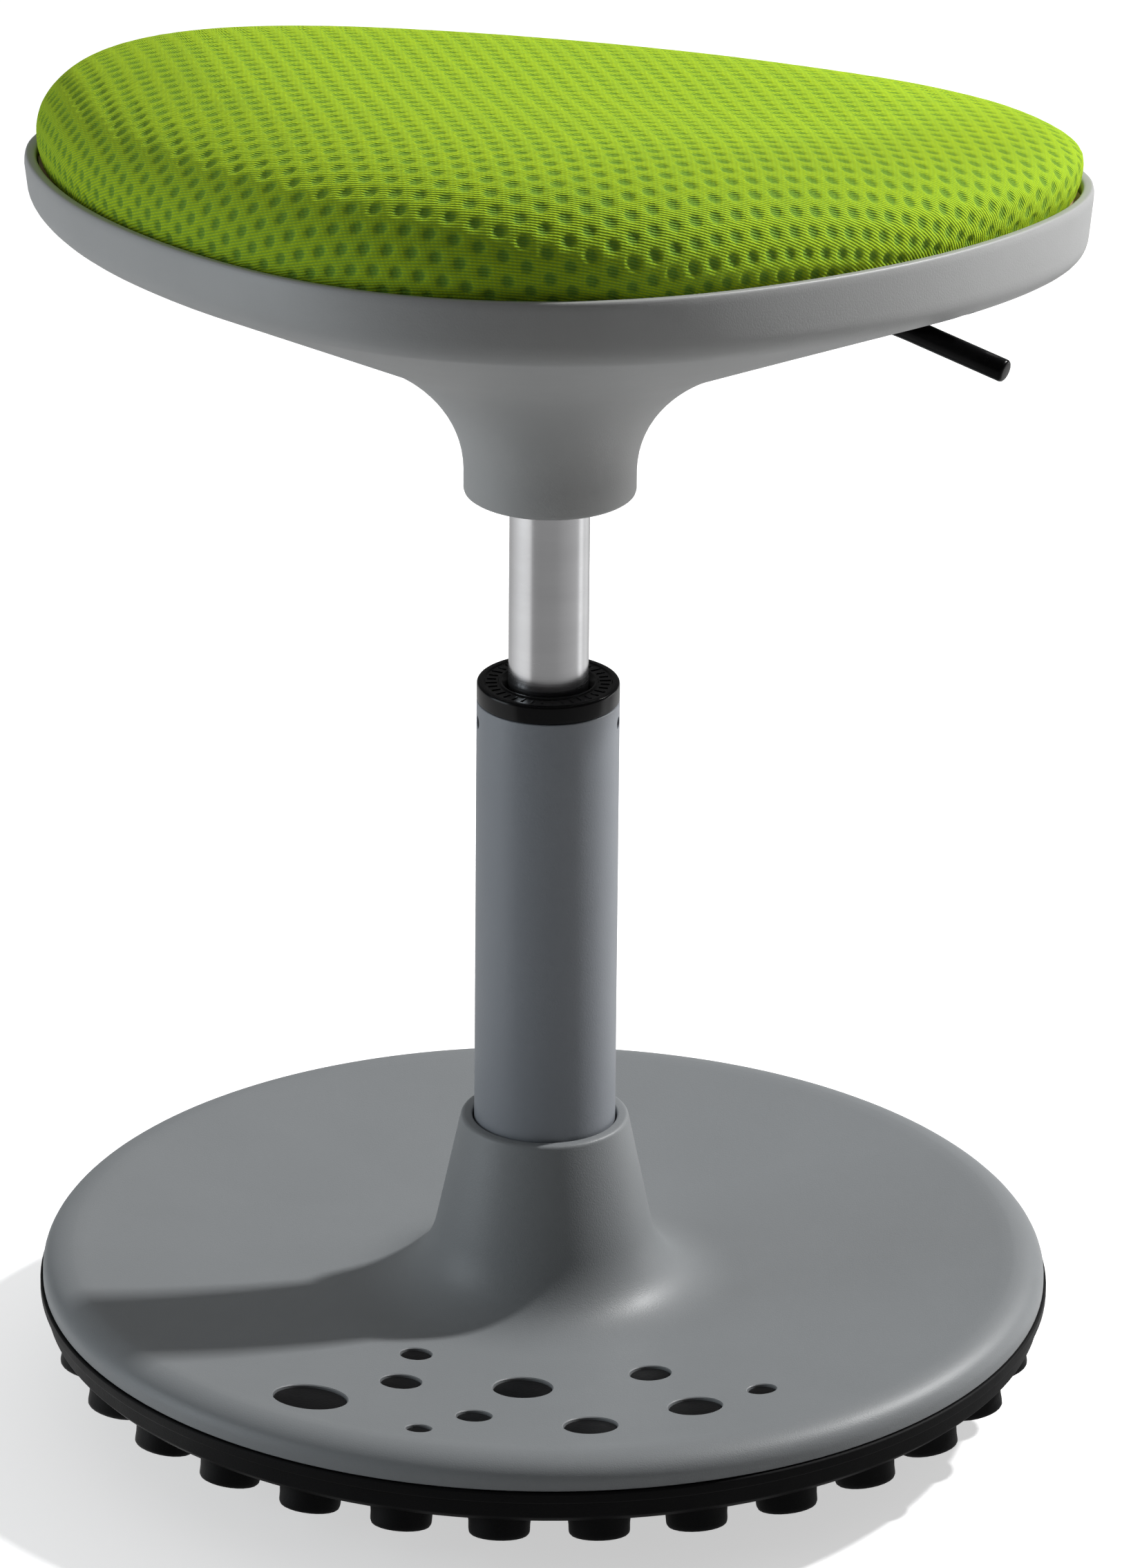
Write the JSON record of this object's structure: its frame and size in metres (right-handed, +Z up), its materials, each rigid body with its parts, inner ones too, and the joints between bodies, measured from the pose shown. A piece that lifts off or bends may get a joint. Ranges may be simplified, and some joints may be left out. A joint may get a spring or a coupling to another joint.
{
  "type": "wobble stool",
  "caption": "Height-adjustable wobble stool: three-cornered green mesh cushion on a leaning grey shell, gas lift with a side lever, dished round base on a studded rocking sole.",
  "frame": {"origin": "on the floor, on the column's axis, at the flat end of the sole's middle stud", "axes": "+Z up along the column; -Y towards the side that carries the grip dots; +X to the right of it, on the side of the height lever"},
  "size_m": [0.3697, 0.3735, 0.5056],
  "materials": {
    "sole_rubber": "matt black",
    "dot_rubber": "satin black",
    "cover_plastic": "fine texture, mid grey",
    "shell_plastic": "fine texture, light grey",
    "column_paint": "satin powder coat, blue-grey",
    "bush_plastic": "gloss black",
    "tube_steel": "ground and bright",
    "hard_chrome": "polished",
    "zinc_steel": "zinc plated",
    "black_steel": "semi-gloss black",
    "birch_plywood": "bare",
    "mesh_fabric": "lime green spacer mesh"
  },
  "bodies": {
    "base": {"rubber_sole": "sole_rubber", "base_cover": "cover_plastic", "grip_mat": "dot_rubber", "ballast_plate": "black_steel", "base_socket": "zinc_steel", "column_tube": "column_paint", "guide_bush": "bush_plastic", "lower_thrust_washer": "zinc_steel", "thrust_bearing": "zinc_steel", "cover_screw_1": "zinc_steel", "cover_screw_2": "zinc_steel", "cover_screw_3": "zinc_steel", "cover_screw_4": "zinc_steel"},
    "rod": {"piston_rod": "hard_chrome", "piston": "zinc_steel", "upper_thrust_washer": "zinc_steel", "bump_stop": "sole_rubber", "rod_washer": "zinc_steel", "rod_clip": "black_steel"},
    "seat": {"pressure_tube": "tube_steel", "tube_end_guide": "zinc_steel", "valve_body": "zinc_steel", "seat_shell": "shell_plastic", "seat_plate": "black_steel", "cone_socket": "black_steel", "lever_pivot_pin": "zinc_steel", "seat_board": "birch_plywood", "seat_cushion": "mesh_fabric", "plate_bolt_1": "zinc_steel", "tee_nut_1": "zinc_steel", "board_screw_1": "zinc_steel", "plate_bolt_2": "zinc_steel", "tee_nut_2": "zinc_steel", "board_screw_2": "zinc_steel", "plate_bolt_3": "zinc_steel", "tee_nut_3": "zinc_steel", "board_screw_3": "zinc_steel", "plate_bolt_4": "zinc_steel", "tee_nut_4": "zinc_steel", "board_screw_4": "zinc_steel"},
    "lever": {"lever_rod": "black_steel"},
    "release_pin": {"release_pin": "hard_chrome"}
  },
  "joints": [
    {"name": "swivel", "type": "hinge", "parent": "base", "child": "rod", "pos_m": [0, 0, 0.0345], "axis": [0, 0, 1], "continuous": true},
    {"name": "seat_height", "type": "slide", "parent": "rod", "child": "seat", "axis": [0, 0, 1], "range_m": [-0.07, 0.05]},
    {"name": "height_lever", "type": "hinge", "parent": "seat", "child": "lever", "pos_m": [0.02624, -0.01454, 0.4265], "axis": [-0.4848, -0.8746, 0], "range_deg": [0, 4.5], "stiffness_Nm_per_rad": 3, "springref_deg": -5.73},
    {"name": "valve_pin", "type": "slide", "parent": "seat", "child": "release_pin", "axis": [0, 0, 1], "range_m": [-0.0024, 0]}
  ],
  "couplings": [
    {"joint": "valve_pin", "follows": "height_lever", "m_per_rad": -0.03}
  ]
}
